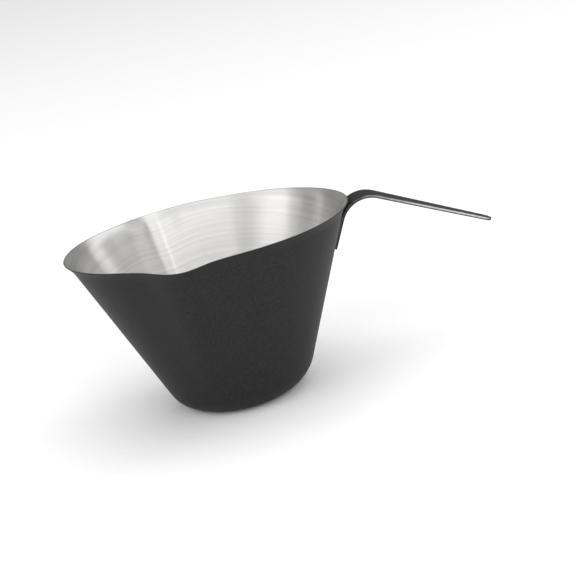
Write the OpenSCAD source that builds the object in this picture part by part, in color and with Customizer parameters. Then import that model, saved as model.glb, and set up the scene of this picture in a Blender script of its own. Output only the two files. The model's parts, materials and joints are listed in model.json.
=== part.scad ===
// Small pouring cup: one pressed sheet of stainless steel, coated black outside and bare inside,
// with a wide spout at -X and a bent strip handle spot-welded to the back of the wall at +X.
// The origin is the centre of the base's underside, and the cup stands on Z = 0.

/* [Cup] */
// Length of the rim, from the spout's tip to the back
rim_l = 80.3; // [70:0.1:100]
// Widest part of the rim, across the shoulders beside the spout
rim_w = 70.7; // [62:0.1:90]
// Height of the rim above the table
cup_h = 49; // [44:0.5:65]
// Radius of the circle in which the wall's line meets the table
base_r = 18.5; // [16:0.5:22]
// Distance of that circle's centre behind the centre of the flat underside
base_shift = 1.1; // [0:0.1:2.5]
// Radius of the flat underside
foot_r = 12; // [7:0.5:13]
// Height of the lip, where the wall turns a little outwards
lip_h = 3; // [2:0.5:5]
// Distance by which the lip stands out
lip_out = 1; // [0.2:0.1:1.2]
// Thickness of the steel sheet
steel_t = 0.6; // [0.4:0.1:1]

/* [Coating] */
// Thickness of the black coating
coat_t = 0.1; // [0.1:0.05:0.3]

/* [Handle] */
// Thickness of the handle strip
strip_t = 0.9; // [0.8:0.1:1.5]
// Width of the strip against the cup
strip_w = 7.5; // [5:0.5:9]
// Width of the strip where its rounded tip starts
strip_tip_w = 3.8; // [3:0.2:7]
// Length of the rounded tip
strip_tip_l = 2.8; // [1:0.1:5]
// Height of the lower end of the strip's leg
leg_z = 35.2; // [30:0.1:36]
// Height at which the strip leaves the wall
bend_z = 43; // [42:0.2:44]
// Radius inside the bend
bend_r = 7.8; // [5:0.1:9]
// Angle by which the handle droops
droop = 25.2; // [10:0.1:35]
// Straight length of the handle, from the bend to its tip
grip_l = 35.3; // [25:0.1:60]

/* [Welds] */
// Radius of each spot weld
weld_r = 1.4; // [1:0.1:2]
// Depth of each spot weld in the strip
weld_depth = 0.4; // [0.2:0.1:0.6]
// Distance between the two spot welds
weld_pitch = 4; // [3.5:0.1:4.5]

/* [Hidden] */
black = [0.16, 0.16, 0.165];
steel = [0.74, 0.74, 0.73];

// Guide points of half the rim, from the spout's tip round to the back: x, y and height above
// cup_h, in millimetres for a rim 80 long and 70.9 wide. The rim is the cubic B-spline that they
// pull: a blunt spout, a flank that turns slightly inwards, a shoulder that dips, a round back.
guide = [[-40.9, 0, -0.3], [-37.2, 13.3, 0], [-30, 22, 0], [-21, 28, 0.1], [-15, 34.5, -0.7],
         [-9.4, 36, -0.8], [-2.9, 34.1, 0.2], [9.6, 33.2, 0], [24.5, 28, 0], [36.6, 16.2, 0],
         [42.2, 0, 0]];
guide_l = 80;
guide_w = 70.9;
steps = 5;        // points on the rim between two guide points
round_steps = 6;  // rings on the rounded edge of the base
lip_steps = 3;    // rings on the lip

last = len(guide) - 1;
scaled = [for (g = guide) [g.x * rim_l / guide_l, g.y * rim_w / guide_w, g.z + cup_h]];
loop = concat(scaled, [for (i = [last - 1:-1:1]) [scaled[i].x, -scaled[i].y, scaled[i].z]]);

function spline(points, i, t) =
    let (n = len(points))
    ( points[(i + n - 1) % n] * pow(1 - t, 3)
    + points[i] * (3 * pow(t, 3) - 6 * pow(t, 2) + 4)
    + points[(i + 1) % n] * (-3 * pow(t, 3) + 3 * pow(t, 2) + 3 * t + 1)
    + points[(i + 2) % n] * pow(t, 3) ) / 6;

rim = [for (i = [0:len(loop) - 1]) for (k = [0:steps - 1]) spline(loop, i, k / steps)];

// In every upright plane through the Z axis the wall is a rounded edge, a straight run up to the
// lip, and the lip, which curves outwards. section() is that outline at a depth below the outer
// surface, as [radius, height] pairs from the foot up to the rim.
function azimuth(p) = atan2(p.y, p.x);
function base_at(p) = base_r + base_shift * cos(azimuth(p));
function lean(p) = atan2(norm([p.x, p.y]) - lip_out - base_at(p), p.z);
function edge_round(p) = (base_at(p) - foot_r) / tan((90 - lean(p)) / 2);
function section(p, depth) =
    let (r = edge_round(p), turn = 90 - lean(p))
    let (line_r = norm([p.x, p.y]) - lip_out - depth / cos(lean(p)))
    concat(
        [for (k = [0:round_steps])
            let (b = turn * k / round_steps)
            [foot_r + (r - depth) * sin(b), r - (r - depth) * cos(b)]],
        [for (k = [0:lip_steps])
            let (up = k / lip_steps, drop = lip_h * (1 - up))
            [line_r - drop * tan(lean(p)) + lip_out * pow(up, 2), p.z - drop]]);
function ring_point(p, flat) =
    [flat[0] * cos(azimuth(p)), flat[0] * sin(azimuth(p)), flat[1]];

function reversed(list) = [for (k = [len(list) - 1:-1:0]) list[k]];

// The closed outline between two depths: up its outer face, and down its inner face.
function outline(p, outer, inner) = concat(section(p, outer), reversed(section(p, inner)));

function band(first, second, count) =
    [for (i = [0:len(rim) - 1])
        let (a = i * count, b = (i + 1) % len(rim) * count)
        each [[a + first, a + second, b + first], [b + first, a + second, b + second]]];

// A wall round the Z axis between two depths. It has a flat floor, or where it has none, the
// last point of each outline joins the first.
module wall(outer, inner, floored) {
    outlines = [for (p = rim) outline(p, outer, inner)];
    count = len(outlines[0]);
    sides = [for (k = [0:count - 2]) each band(k, k + 1, count)];
    outer_floor = [for (i = [0:len(rim) - 1]) i * count];
    inner_floor = [for (i = [len(rim) - 1:-1:0]) i * count + count - 1];
    ends = floored ? [outer_floor, inner_floor] : band(count - 1, 0, count);
    points = [for (i = [0:len(rim) - 1]) for (q = outlines[i]) ring_point(rim[i], q)];
    polyhedron(points, concat(sides, ends), convexity = 6);
}

// The back of the wall, where the strip's leg lies flat against the steel.
back = rim[last * steps];
back_lean = lean(back);
function back_x(z) =
    back.x - lip_out - (back.z - z) * tan(back_lean) - coat_t / cos(back_lean);

leg_l = (bend_z - leg_z) / cos(back_lean);
turn = 90 - back_lean + droop;
bend_steps = 24;
tip_steps = 16;
taper_x = 1;      // length of the grip before it tapers

// Places its children on the back wall at bend_z: X runs up the leg and Z out of the wall.
module on_leg() {
    translate([back_x(bend_z), 0, bend_z])
        rotate([180, back_lean - 90, 0])
            children();
}

// One face of the strip seen from its edge, at a depth from the face that touches the cup:
// the bend from the leg on, then a point past the tip of the grip.
function bend_line(depth) =
    let (r = bend_r + strip_t - depth, centre = [0, strip_t + bend_r])
    concat(
        [for (k = [0:bend_steps]) let (a = turn * k / bend_steps) centre + r * [sin(a), -cos(a)]],
        [centre + r * [sin(turn), -cos(turn)] + 2 * grip_l * [cos(turn), sin(turn)]]);

// A layer of the strip between two depths, cut to the strip's outline. Its leg may start at a
// depth of its own, and a layer with no leg starts where the strip leaves the wall.
module layer(from, to, leg_from) {
    near = bend_line(from);
    far = bend_line(to);
    step = leg_from == from ? [] : [[0, leg_from]];
    start = is_undef(leg_from) ? [] : concat([[-leg_l, to], [-leg_l, leg_from]], step);
    on_leg()
        intersection() {
            rotate([90, 0, 0])
                linear_extrude(2 * strip_w, center = true)
                    polygon(concat(start, near, [for (k = [len(far) - 1:-1:0]) far[k]]));
            translate([0, 0, strip_t + bend_r])
                rotate([0, -turn, 0])
                    linear_extrude(2 * grip_l, center = true)
                        strip_outline();
        }
}

// The strip's outline square to the grip: full width to just past the bend, then a taper and an
// elliptical tip.
module strip_outline() {
    round_tip = [for (k = [0:tip_steps])
        let (a = 180 * k / tip_steps - 90)
        [grip_l - strip_tip_l * (1 - cos(a)), strip_tip_w / 2 * sin(a)]];
    side = strip_w / 2;
    polygon(concat([[-grip_l, side], [-grip_l, -side], [taper_x, -side]],
                   round_tip, [[taper_x, side]]));
}

module weld_spots() {
    for (side = [-1, 1])
        on_leg()
            translate([(side * weld_pitch - leg_l) / 2, 0, 0])
                cylinder(h = weld_depth, r = weld_r, $fn = 48);
}

module cup_shell() {
    color(steel)
        wall(coat_t, coat_t + steel_t, floored = true);
}

// The coating covers the outside up to the rim's bare edge. The strip's leg is welded to bare
// steel, so the coating stops round it.
module outer_coating() {
    color(black)
        difference() {
            wall(0, coat_t, floored = false);
            layer(0, strip_t, 0);
        }
}

module base_coating() {
    color(black)
        linear_extrude(coat_t)
            polygon([for (p = rim) foot_r * [cos(azimuth(p)), sin(azimuth(p))]]);
}

module handle_strip() {
    color(steel)
        difference() {
            layer(coat_t, strip_t - coat_t, 0);
            weld_spots();
        }
}

// Both faces are coated from the bend on, and the leg only on its outer face.
module handle_coating() {
    color(black) {
        layer(strip_t - coat_t, strip_t, strip_t - coat_t);
        layer(0, coat_t);
    }
}

module spot_welds() {
    color(steel)
        weld_spots();
}

cup_shell();
outer_coating();
base_coating();
handle_strip();
handle_coating();
spot_welds();
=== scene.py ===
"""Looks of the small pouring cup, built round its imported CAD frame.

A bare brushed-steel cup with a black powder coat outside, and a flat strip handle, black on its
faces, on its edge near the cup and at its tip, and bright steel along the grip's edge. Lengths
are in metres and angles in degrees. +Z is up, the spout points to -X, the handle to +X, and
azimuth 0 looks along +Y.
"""
import json
import math

import bpy
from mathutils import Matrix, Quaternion, Vector

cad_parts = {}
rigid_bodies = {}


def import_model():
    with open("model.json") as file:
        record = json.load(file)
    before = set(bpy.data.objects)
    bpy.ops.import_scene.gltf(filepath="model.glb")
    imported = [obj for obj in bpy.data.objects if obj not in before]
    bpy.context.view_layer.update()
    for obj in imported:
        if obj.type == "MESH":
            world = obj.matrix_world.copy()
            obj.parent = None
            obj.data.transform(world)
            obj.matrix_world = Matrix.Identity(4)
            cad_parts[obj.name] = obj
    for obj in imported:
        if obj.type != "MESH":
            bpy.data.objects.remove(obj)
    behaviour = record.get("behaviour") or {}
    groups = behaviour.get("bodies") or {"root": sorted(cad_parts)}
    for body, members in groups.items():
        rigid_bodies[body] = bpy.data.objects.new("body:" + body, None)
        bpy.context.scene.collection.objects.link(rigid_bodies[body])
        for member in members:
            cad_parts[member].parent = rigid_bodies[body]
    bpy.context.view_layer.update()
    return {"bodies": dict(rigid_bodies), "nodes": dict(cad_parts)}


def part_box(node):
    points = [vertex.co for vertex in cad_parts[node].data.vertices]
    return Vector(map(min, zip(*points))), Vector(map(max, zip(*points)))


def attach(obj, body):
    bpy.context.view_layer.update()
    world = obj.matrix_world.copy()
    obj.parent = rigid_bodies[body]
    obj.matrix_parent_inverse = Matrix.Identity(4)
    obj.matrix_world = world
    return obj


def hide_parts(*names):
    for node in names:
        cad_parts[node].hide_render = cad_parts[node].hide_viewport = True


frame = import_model()

mm = 0.001
BODY = next(iter(frame["bodies"]))

# ---------------------------------------------------------------- sizes taken from the CAD frame
cup_low, cup_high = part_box("outer_coating")
foot_low, foot_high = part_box("base_coating")
strip_low, strip_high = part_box("handle_strip")

rim_l = cup_high.x - cup_low.x
rim_w = cup_high.y - cup_low.y
foot_r = (foot_high.x - foot_low.x) / 2
coat_t = foot_high.z - foot_low.z
strip_w = strip_high.y - strip_low.y

# ---------------------------------------------------------------- design sizes, as in the CAD
# Most sizes of the wall and the strip, the rim's guide points and the camera come from a
# least-squares fit of cup and camera to the photo's outlines. They are rounded, and a few were
# then changed a little. The thicknesses, the lip's height and the scale are not fitted.
steel_t = 0.6 * mm
cup_h = 49 * mm
base_r = 18.5 * mm                 # circle in which the wall's line meets the table
base_shift = 1.1 * mm              # that circle's centre, behind the centre of the underside
lip_h = 3 * mm
lip_out = 1 * mm

strip_t = 0.9 * mm
strip_tip_w = 3.8 * mm
strip_tip_l = 2.8 * mm
leg_z = 35.2 * mm
bend_z = 43 * mm
bend_r = 7.8 * mm
droop = 25.2
grip_l = 35.3 * mm
taper_x = 1 * mm                   # length of the grip before it tapers

# Guide points of half the rim, in millimetres for a rim 80 long and 70.9 wide.
guide = [(-40.9, 0, -0.3), (-37.2, 13.3, 0), (-30, 22, 0), (-21, 28, 0.1), (-15, 34.5, -0.7),
         (-9.4, 36, -0.8), (-2.9, 34.1, 0.2), (9.6, 33.2, 0), (24.5, 28, 0), (36.6, 16.2, 0),
         (42.2, 0, 0)]
guide_l = 80
guide_w = 70.9

# ---------------------------------------------------------------- sizes that only the looks have
worn_r = 0.3 * mm                  # rounding of the rim's outer corner
crisp_r = 0.06 * mm                # rounding of its inner corner
coat_start = 0.5 * mm              # past the leg, where the inner face's coat is at full depth
wall_r = 20 * mm                   # the curve that the leg's sides are pressed to
coat_wrap = 0.22 * mm              # how far the outer face's coat comes round the strip's edge
# Along X, the strip's edge turns from black coat to bright steel between these two.
steel_edge_starts = 3.5 * mm             # from where the strip leaves the wall, along X
steel_edge_full = 24 * mm
coated_tip = 2 * mm                # the coat stays on round the tip


# ---------------------------------------------------------------- the cup's outline
def guide_loop():
    """The guide points of the whole rim, fitted to the frame's own length and width."""
    half = [Vector((x * rim_l / guide_l, y * rim_w / guide_w, z * mm + cup_h))
            for x, y, z in guide]
    return half + [Vector((p.x, -p.y, p.z)) for p in half[-2:0:-1]]


def spline(points, i, t):
    """A point on the closed cubic B-spline, at t along its span i."""
    n = len(points)
    return (points[i - 1] * (1 - t) ** 3
            + points[i] * (3 * t ** 3 - 6 * t ** 2 + 4)
            + points[(i + 1) % n] * (-3 * t ** 3 + 3 * t ** 2 + 3 * t + 1)
            + points[(i + 2) % n] * t ** 3) / 6


def rim_points(steps=16):
    points = guide_loop()
    return [spline(points, i, k / steps) for i in range(len(points)) for k in range(steps)]


def rim_back():
    return spline(guide_loop(), len(guide) - 1, 0)


def base_at(p):
    return base_r + base_shift * p.x / math.hypot(p.x, p.y)


def lean(p):
    """The wall's angle from upright at the rim point p, in radians."""
    return math.atan2(math.hypot(p.x, p.y) - lip_out - base_at(p), p.z)


def wall_point(p, depth, drop):
    """A point of the wall's line or its lip, at a drop below the rim, as (radius, height)."""
    line_r = math.hypot(p.x, p.y) - lip_out - depth / math.cos(lean(p))
    up = max(1 - drop / lip_h, 0)
    return (line_r - drop * math.tan(lean(p)) + lip_out * up ** 2, p.z - drop)


def section(p, depth, below=0.0, arc_steps=12, wall_steps=24, lip_steps=8):
    """The upright section at a depth in from the coat's outer face, from the foot upwards.

    It is a list of (radius, height), and ends at the height below the rim that below says."""
    turn = math.pi / 2 - lean(p)
    edge = (base_at(p) - foot_r) / math.tan(turn / 2)
    arc = []
    for k in range(arc_steps):
        b = turn * k / arc_steps
        arc.append((foot_r + (edge - depth) * math.sin(b), edge - (edge - depth) * math.cos(b)))
    arc_top_z = edge - (edge - depth) * math.cos(turn)
    wall_drop = p.z - arc_top_z
    wall = [wall_point(p, depth, wall_drop + (lip_h - wall_drop) * k / wall_steps)
            for k in range(wall_steps)]
    lip = [wall_point(p, depth, lip_h + (below - lip_h) * k / lip_steps)
           for k in range(lip_steps + 1)]
    return arc + wall + lip


def face_up(p, depth, corner_r, inward, steps=5):
    """The section at a depth, from foot to rim, and round a corner on to the rim's flat top."""
    corner = []
    for k in range(1, steps + 1):
        a = math.radians(90 * k / steps)
        r, z = wall_point(p, depth, corner_r * (1 - math.sin(a)))
        corner.append((r + inward * corner_r * (1 - math.cos(a)), z))
    return section(p, depth, corner_r) + corner


def steel_section(p):
    """The sheet, its bare edge rounded over outside and crisp inside."""
    outside = face_up(p, coat_t, worn_r - coat_t, -1)
    inside = face_up(p, coat_t + steel_t, crisp_r, 1)
    return outside + inside[::-1]


def coat_section(p):
    """The coat, which thins out over the sheet's rounded corner."""
    outside = face_up(p, 0, worn_r, -1)
    inside = face_up(p, coat_t, worn_r - coat_t, -1)
    return outside + inside[::-1]


# ---------------------------------------------------------------- mesh helpers
def piece(name, points, faces, material, smooth=True):
    mesh = bpy.data.meshes.new(name)
    mesh.from_pydata([tuple(p) for p in points], [], faces)
    mesh.validate()
    mesh.polygons.foreach_set("use_smooth", [smooth] * len(mesh.polygons))
    mesh.update()
    made = bpy.data.objects.new(name, mesh)
    bpy.context.scene.collection.objects.link(made)
    mesh.materials.append(material)
    return made


def bridge(first, second, count):
    """Quads between two closed loops of points."""
    return [(first + i, first + (i + 1) % count, second + (i + 1) % count, second + i)
            for i in range(count)]


def cup_wall(name, make_section, material, floor_rings=10):
    """A closed cup: rings along the section, and a flat floor at each of its ends."""
    rim = rim_points()
    count = len(rim)
    turns = [math.atan2(p.y, p.x) for p in rim]
    sections = [make_section(p) for p in rim]
    outer, inner = sections[0][0][1], sections[0][-1][1]
    rings = []
    for k in range(1, floor_rings):
        rings.append([(foot_r * k / floor_rings, outer)] * count)
    rings += [[s[k] for s in sections] for k in range(len(sections[0]))]
    for k in range(floor_rings - 1, 0, -1):
        rings.append([(foot_r * k / floor_rings, inner)] * count)
    points = [Vector((r * math.cos(a), r * math.sin(a), z))
              for ring in rings for a, (r, z) in zip(turns, ring)]
    faces = []
    for k in range(len(rings) - 1):
        faces += bridge((k + 1) * count, k * count, count)
    last = (len(rings) - 1) * count
    below_middle, above_middle = len(points), len(points) + 1
    points += [Vector((0, 0, outer)), Vector((0, 0, inner))]
    faces += [(below_middle, i, (i + 1) % count) for i in range(count)]
    faces += [(above_middle, last + (i + 1) % count, last + i) for i in range(count)]
    return piece(name, points, faces, material)


# ---------------------------------------------------------------- the strip handle
def strip_frame():
    """Where the strip leaves the wall: the place, up along the wall, and out of the wall."""
    back = rim_back()
    tilt = lean(back)
    x = back.x - lip_out - (back.z - bend_z) * math.tan(tilt) - coat_t / math.cos(tilt)
    return (Vector((x, 0, bend_z)), Vector((math.sin(tilt), 0, math.cos(tilt))),
            Vector((math.cos(tilt), 0, -math.sin(tilt))))


strip_start, strip_up, strip_out = strip_frame()
leg_l = (bend_z - leg_z) / strip_up.z
bend_turn = math.pi / 2 - lean(rim_back()) + math.radians(droop)
mid_r = bend_r + strip_t / 2
bend_l = mid_r * bend_turn
strip_l = leg_l + bend_l + grip_l


def strip_point(s, across, height):
    """A point at s along the strip from its lower end, and at a height above its inner face.

    The leg's sides are pressed to the round wall, most of all at its lower end."""
    along = s - leg_l
    if along <= 0:
        u = along
        w = height - across ** 2 / (2 * wall_r) * -along / leg_l
    else:
        a = min(along / mid_r, bend_turn)
        r = bend_r + strip_t - height
        past = max(along - bend_l, 0)
        u = r * math.sin(a) + past * math.cos(a)
        w = strip_t + bend_r - r * math.cos(a) + past * math.sin(a)
    place = strip_start + strip_up * u + strip_out * w
    return Vector((place.x, across, place.z))


def half_width(s):
    """Half the strip's width at s, up to its tip: full to just past the bend, then a taper."""
    taper = leg_l + bend_l + taper_x
    tip = strip_l - strip_tip_l
    if s <= taper:
        return strip_w / 2
    return strip_w / 2 + (strip_tip_w - strip_w) / 2 * (s - taper) / (tip - taper)


def strip_side(start, corner_r, inset, corner_steps=6, side_steps=96, tip_steps=16):
    """One long side of the strip's outline, as (s, half width), from its lower end to its tip.

    It ends just short of the middle of the tip, so that the two sides never share a point."""
    tip = strip_l - strip_tip_l
    tip_share = 0.995
    side = []
    for k in range(corner_steps + 1):
        a = math.radians(90 * k / corner_steps)
        side.append((start + corner_r - (corner_r - inset) * math.cos(a),
                     strip_w / 2 - corner_r + (corner_r - inset) * math.sin(a)))
    straight = start + corner_r
    for k in range(1, side_steps):
        s = straight + (tip - straight) * k / side_steps
        side.append((s, half_width(s) - inset))
    for k in range(tip_steps + 1):
        a = math.radians(90 * k / tip_steps * tip_share)
        side.append((tip + (strip_tip_l - inset) * math.sin(a),
                     (strip_tip_w / 2 - inset) * math.cos(a)))
    return side


def slab(name, start, low, high, material, edge, inset=0.0, corner_r=0.9 * mm, arc_steps=4):
    """A strip layer between two heights with rounded edges, closed on every side.

    low and high are functions of s; edge is the rounding's radius, and inset draws the whole
    outline in from the strip's own."""
    layers = []
    for k in range(arc_steps + 1):
        a = math.radians(90 * k / arc_steps)
        layers.append((inset + edge * (1 - math.sin(a)), edge * (1 - math.cos(a)), 0))
    layers += [(draw_in, lift, 1) for draw_in, lift, _ in layers[::-1]]
    flat_from = inset + 1.6 * edge
    layers = [(flat_from, 0, 0)] + layers + [(flat_from, 0, 1)]
    points = []
    for draw_in, lift, top in layers:
        side = strip_side(start, corner_r, draw_in)
        loop = side + [(s, -w) for s, w in side[::-1]]
        for s, across in loop:
            height = high(s) - lift if top else low(s) + lift
            points.append(strip_point(s, across, height))
    count = len(points) // len(layers)
    half = count // 2
    faces = []
    for k in range(len(layers) - 1):
        faces += bridge(k * count, (k + 1) * count, count)
    last = (len(layers) - 1) * count
    for i in range(half - 1):
        faces.append((i, i + 1, count - 2 - i, count - 1 - i)[::-1])
        faces.append((last + i, last + i + 1, last + count - 2 - i, last + count - 1 - i))
    return piece(name, points, faces, material)


# ---------------------------------------------------------------- materials
def node_tree(name):
    material = bpy.data.materials.new(name)
    material.use_nodes = True
    tree = material.node_tree
    shader = tree.nodes["Principled BSDF"]
    return material, tree, shader


def add(tree, kind, links=None, **settings):
    """A new node, its settings by name and its inputs by socket name or number."""
    made = tree.nodes.new(kind)
    for key, value in settings.items():
        setattr(made, key, value)
    for key, value in (links or {}).items():
        if isinstance(value, bpy.types.NodeSocket):
            tree.links.new(value, made.inputs[key])
        else:
            made.inputs[key].default_value = value
    return made


def ramp(tree, source, low, high, from_low=0.3, from_high=0.7):
    """Maps a texture's value to a range."""
    made = add(tree, "ShaderNodeMapRange",
               {"Value": source, "From Min": from_low, "From Max": from_high,
                "To Min": low, "To Max": high})
    return made.outputs["Result"]


def mixed(tree, factor, first, second):
    made = add(tree, "ShaderNodeMix", data_type="RGBA")
    tree.links.new(factor, made.inputs["Factor"])
    made.inputs["A"].default_value = first
    made.inputs["B"].default_value = second
    return made.outputs["Result"]


def noise(tree, vector, scale, detail=4.0, roughness=0.6):
    made = add(tree, "ShaderNodeTexNoise",
               {"Vector": vector, "Scale": scale, "Detail": detail, "Roughness": roughness})
    return made.outputs["Fac"]


def object_place(tree):
    """Texture coordinates in metres that stay with the object."""
    return add(tree, "ShaderNodeTexCoord").outputs["Object"]


def ring_coordinates(tree, around, height):
    """Coordinates stretched round the Z axis, so that noise becomes turned or brushed rings."""
    place = object_place(tree)
    level = add(tree, "ShaderNodeVectorMath", {0: place, 1: (1, 1, 0)}, operation="MULTIPLY")
    turned = add(tree, "ShaderNodeVectorMath", {0: level.outputs[0]}, operation="NORMALIZE")
    rounded = add(tree, "ShaderNodeVectorMath", {0: turned.outputs[0], "Scale": around},
                  operation="SCALE")
    radius = add(tree, "ShaderNodeVectorMath", {0: level.outputs[0]}, operation="LENGTH")
    split = add(tree, "ShaderNodeSeparateXYZ", {0: place})
    rise = add(tree, "ShaderNodeMath", {0: split.outputs["Z"], 1: radius.outputs["Value"]},
               operation="ADD")
    lifted = add(tree, "ShaderNodeMath", {0: rise.outputs[0], 1: height}, operation="MULTIPLY")
    upward = add(tree, "ShaderNodeCombineXYZ", {"Z": lifted.outputs[0]})
    both = add(tree, "ShaderNodeVectorMath", {0: rounded.outputs[0], 1: upward.outputs[0]},
               operation="ADD")
    return both.outputs[0]


def bump(tree, shader, height, distance):
    made = add(tree, "ShaderNodeBump", {"Height": height, "Distance": distance, "Strength": 1.0})
    tree.links.new(made.outputs["Normal"], shader.inputs["Normal"])


def brushed_steel():
    """Bare stainless steel, brushed in rings round the cup."""
    material, tree, shader = node_tree("brushed_steel")
    fine_rings = ring_coordinates(tree, around=1.6, height=5200)
    fine = noise(tree, fine_rings, scale=1.0, detail=3.0)
    broad_rings = ring_coordinates(tree, around=0.5, height=1000)
    broad = noise(tree, broad_rings, scale=1.0, detail=2.0)
    tone = mixed(tree, ramp(tree, broad, 0.0, 1.0), (0.60, 0.595, 0.585, 1),
                 (0.70, 0.695, 0.685, 1))
    tree.links.new(tone, shader.inputs["Base Color"])
    tree.links.new(ramp(tree, fine, 0.31, 0.41), shader.inputs["Roughness"])
    shader.inputs["Metallic"].default_value = 1.0
    shader.inputs["Anisotropic"].default_value = 0.92
    shader.inputs["Anisotropic Rotation"].default_value = 0.25
    tangent = add(tree, "ShaderNodeTangent", direction_type="RADIAL", axis="Z")
    tree.links.new(tangent.outputs["Tangent"], shader.inputs["Tangent"])
    bump(tree, shader, fine, 0.004 * mm)
    return material


def black_coat():
    """Fine-textured matt black powder coat."""
    material, tree, shader = node_tree("black_coat")
    place = object_place(tree)
    grain = noise(tree, place, scale=2600, detail=3.0, roughness=0.65)
    specks = ramp(tree, grain, 0.0, 1.0, from_low=0.45, from_high=0.75)
    tone = mixed(tree, specks, (0.009, 0.009, 0.0092, 1), (0.026, 0.026, 0.0262, 1))
    tree.links.new(tone, shader.inputs["Base Color"])
    tree.links.new(ramp(tree, grain, 0.48, 0.62), shader.inputs["Roughness"])
    shader.inputs["Specular IOR Level"].default_value = 0.2
    bump(tree, shader, grain, 0.05 * mm)
    return material


def cut_steel():
    """The rim's bare cut edge, duller than the brushed inside."""
    material, tree, shader = node_tree("cut_steel")
    place = object_place(tree)
    grain = noise(tree, place, scale=1500, detail=3.0)
    tone = mixed(tree, ramp(tree, grain, 0.0, 1.0), (0.26, 0.257, 0.253, 1),
                 (0.36, 0.356, 0.35, 1))
    tree.links.new(tone, shader.inputs["Base Color"])
    tree.links.new(ramp(tree, grain, 0.38, 0.5), shader.inputs["Roughness"])
    shader.inputs["Metallic"].default_value = 1.0
    return material


def edge_coat_to_steel():
    """The strip's edge: black coat round the leg and the bend, turning to bright steel along the
    grip and back to coat at the tip.
    """
    material, tree, shader = node_tree("edge_coat_to_steel")
    place = object_place(tree)
    stretched = add(tree, "ShaderNodeMapping", {"Vector": place, "Scale": (600, 600, 3000)})
    lines = noise(tree, stretched.outputs["Vector"], scale=1.0, detail=3.0)
    patches = noise(tree, place, scale=500)
    along = add(tree, "ShaderNodeSeparateXYZ", {0: place})
    # Black coat near the cup, then bright steel further along X, in uneven patches.
    steel_along_x = ramp(tree, along.outputs["X"], 0.0, 1.0,
                  from_low=strip_start.x + steel_edge_starts, from_high=strip_start.x + steel_edge_full)
    uneven = add(tree, "ShaderNodeMath", {0: steel_along_x, 1: ramp(tree, patches, -0.15, 0.15)},
                 operation="ADD", use_clamp=True)
    before_tip = ramp(tree, along.outputs["X"], 1.0, 0.0,
                      from_low=strip_high.x - coated_tip,
                      from_high=strip_high.x - coated_tip / 4)
    bare = add(tree, "ShaderNodeMath", {0: uneven.outputs[0], 1: before_tip},
               operation="MULTIPLY").outputs[0]
    tone = mixed(tree, ramp(tree, lines, 0.0, 1.0), (0.36, 0.355, 0.35, 1),
                 (0.56, 0.555, 0.55, 1))
    edge_colour = add(tree, "ShaderNodeMix", {"A": (0.012, 0.012, 0.0122, 1), "B": tone},
               data_type="RGBA")
    tree.links.new(bare, edge_colour.inputs["Factor"])
    tree.links.new(edge_colour.outputs["Result"], shader.inputs["Base Color"])
    tree.links.new(bare, shader.inputs["Metallic"])
    roughness = ramp(tree, bare, 0.55, 0.34, from_low=0.0, from_high=1.0)
    tree.links.new(roughness, shader.inputs["Roughness"])
    bump(tree, shader, lines, 0.01 * mm)
    return material


def weld_metal():
    """The dull, once-melted steel of the spot welds."""
    material, tree, shader = node_tree("weld_metal")
    place = object_place(tree)
    grain = noise(tree, place, scale=1800)
    tone = mixed(tree, ramp(tree, grain, 0.0, 1.0), (0.30, 0.29, 0.28, 1),
                 (0.48, 0.47, 0.46, 1))
    tree.links.new(tone, shader.inputs["Base Color"])
    tree.links.new(ramp(tree, grain, 0.4, 0.6), shader.inputs["Roughness"])
    shader.inputs["Metallic"].default_value = 1.0
    bump(tree, shader, grain, 0.02 * mm)
    return material


def floor_paper():
    """Pale studio paper with the faintest tooth."""
    material, tree, shader = node_tree("floor_paper")
    place = object_place(tree)
    tooth = noise(tree, place, scale=300, detail=3.0)
    tone = mixed(tree, ramp(tree, tooth, 0.0, 1.0), (0.93, 0.93, 0.93, 1),
                 (0.95, 0.95, 0.95, 1))
    tree.links.new(tone, shader.inputs["Base Color"])
    shader.inputs["Roughness"].default_value = 0.9
    shader.inputs["Specular IOR Level"].default_value = 0.1
    return material


steel = brushed_steel()
coat = black_coat()

# ---------------------------------------------------------------- pieces
def add_cut_edge(cup):
    """Gives the rim's flat top a material of its own."""
    cup.data.materials.append(cut_steel())
    for polygon in cup.data.polygons:
        if polygon.center.z > cup_h - lip_h / 2 and polygon.normal.z > 0.9:
            polygon.material_index = 1


cup = cup_wall("steel_cup", steel_section, steel)
add_cut_edge(cup)
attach(cup, BODY)
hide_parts("cup_shell")

jacket = cup_wall("powder_coat", coat_section, coat)
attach(jacket, BODY)
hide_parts("outer_coating", "base_coating")


def core_low(s):
    """The bare leg lies on the wall; from the bend on the inner face is coated."""
    return coat_t * min(max((s - leg_l) / coat_start, 0), 1)


strip = slab("steel_strip", 0.0, core_low, lambda s: strip_t - coat_wrap, edge_coat_to_steel(),
             edge=0.18 * mm)
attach(strip, BODY)
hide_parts("handle_strip")

outer_skin = slab("strip_coat_outer", 0.0, lambda s: strip_t - coat_wrap, lambda s: strip_t,
                  coat, edge=0.1 * mm)
inner_skin = slab("strip_coat_inner", leg_l + coat_start, lambda s: 0.0, lambda s: coat_t,
                  coat, edge=0.04 * mm, inset=0.12 * mm, corner_r=0.3 * mm)
for skin in (outer_skin, inner_skin):
    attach(skin, BODY)
    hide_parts("handle_coating")

welds = frame["nodes"]["spot_welds"]
welds.data.materials.clear()
welds.data.materials.append(weld_metal())

# ---------------------------------------------------------------- camera
# From the fit named above.
view_azimuth = -7.48
view_elevation = 17.67
view_roll = 11.65
view_distance = 392.1 * mm
view_target = Vector((19.2, 0, 26.58)) * mm
lens = 87.16                       # on a sensor 36 wide


def backwards(azimuth, elevation):
    a, e = math.radians(azimuth), math.radians(elevation)
    return Vector((math.sin(a) * math.cos(e), -math.cos(a) * math.cos(e), math.sin(e)))


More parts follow.
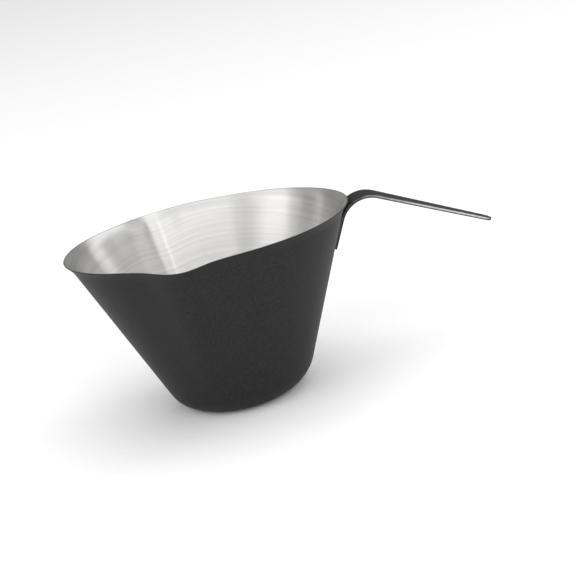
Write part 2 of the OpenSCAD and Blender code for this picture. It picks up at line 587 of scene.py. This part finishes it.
def add_camera():
    camera = bpy.data.objects.new("camera", bpy.data.cameras.new("camera"))
    camera.data.lens = lens
    camera.data.sensor_width = 36
    camera.data.clip_start = 0.01
    camera.data.clip_end = 20
    back = backwards(view_azimuth, view_elevation)
    camera.location = view_target + back * view_distance
    camera.rotation_mode = "QUATERNION"
    level = (-back).to_track_quat("-Z", "Y")
    camera.rotation_quaternion = Quaternion(back, math.radians(-view_roll)) @ level
    bpy.context.scene.collection.objects.link(camera)
    bpy.context.scene.camera = camera


add_camera()

# ---------------------------------------------------------------- stage and lights
floor_half = 4.0
floor_gap = 0.05 * mm
light_distance = 1.4
light_height = 1.3
light_elevation = 25
cup_middle = Vector((0, 0, 30 * mm))
overhead_tilt = (-12, 8)           # about X and about Y

# Each softbox: its name, azimuth, width and brightness.
softboxes = (("left_strip", -120, 0.14, 1.2), ("left_edge", -87, 0.3, 0.8),
             ("left", -64, 0.75, 1.75), ("front_left", -35, 0.6, 0.9),
             ("front", 2, 1.2, 1.55), ("front_right", 50, 1.2, 1.35),
             ("right", 100, 0.45, 1.1))


def add_floor():
    z = foot_low.z - floor_gap
    corners = [(-floor_half, -floor_half, z), (floor_half, -floor_half, z),
               (floor_half, floor_half, z), (-floor_half, floor_half, z)]
    floor = piece("floor", corners, [(0, 1, 2, 3)], floor_paper(), smooth=False)


def softbox(name, azimuth, width, brightness):
    """A rectangular light that faces the cup; brightness is its radiance."""
    data = bpy.data.lights.new(name, "AREA")
    data.shape = "RECTANGLE"
    data.size = width
    data.size_y = light_height
    data.energy = brightness * math.pi * width * light_height
    made = bpy.data.objects.new(name, data)
    back = backwards(azimuth, light_elevation)
    made.location = cup_middle + back * light_distance
    made.rotation_mode = "QUATERNION"
    made.rotation_quaternion = (-back).to_track_quat("-Z", "Y")
    made.visible_camera = False
    bpy.context.scene.collection.objects.link(made)


def add_world(brightness):
    world = bpy.data.worlds.new("studio")
    world.use_nodes = True
    ground = world.node_tree.nodes["Background"]
    ground.inputs["Color"].default_value = (1, 1, 1, 1)
    ground.inputs["Strength"].default_value = brightness
    bpy.context.scene.world = world


def add_overhead(strength, spread):
    data = bpy.data.lights.new("overhead", "SUN")
    data.energy = strength
    data.angle = math.radians(spread)
    made = bpy.data.objects.new("overhead", data)
    about_x, about_y = overhead_tilt
    made.rotation_euler = (math.radians(about_x), math.radians(about_y), 0)
    bpy.context.scene.collection.objects.link(made)


add_floor()
add_world(0.36)
add_overhead(1.4, spread=64)
for name, azimuth, width, brightness in softboxes:
    softbox(name, azimuth, width, brightness)

bpy.context.scene.view_settings.view_transform = "Standard"
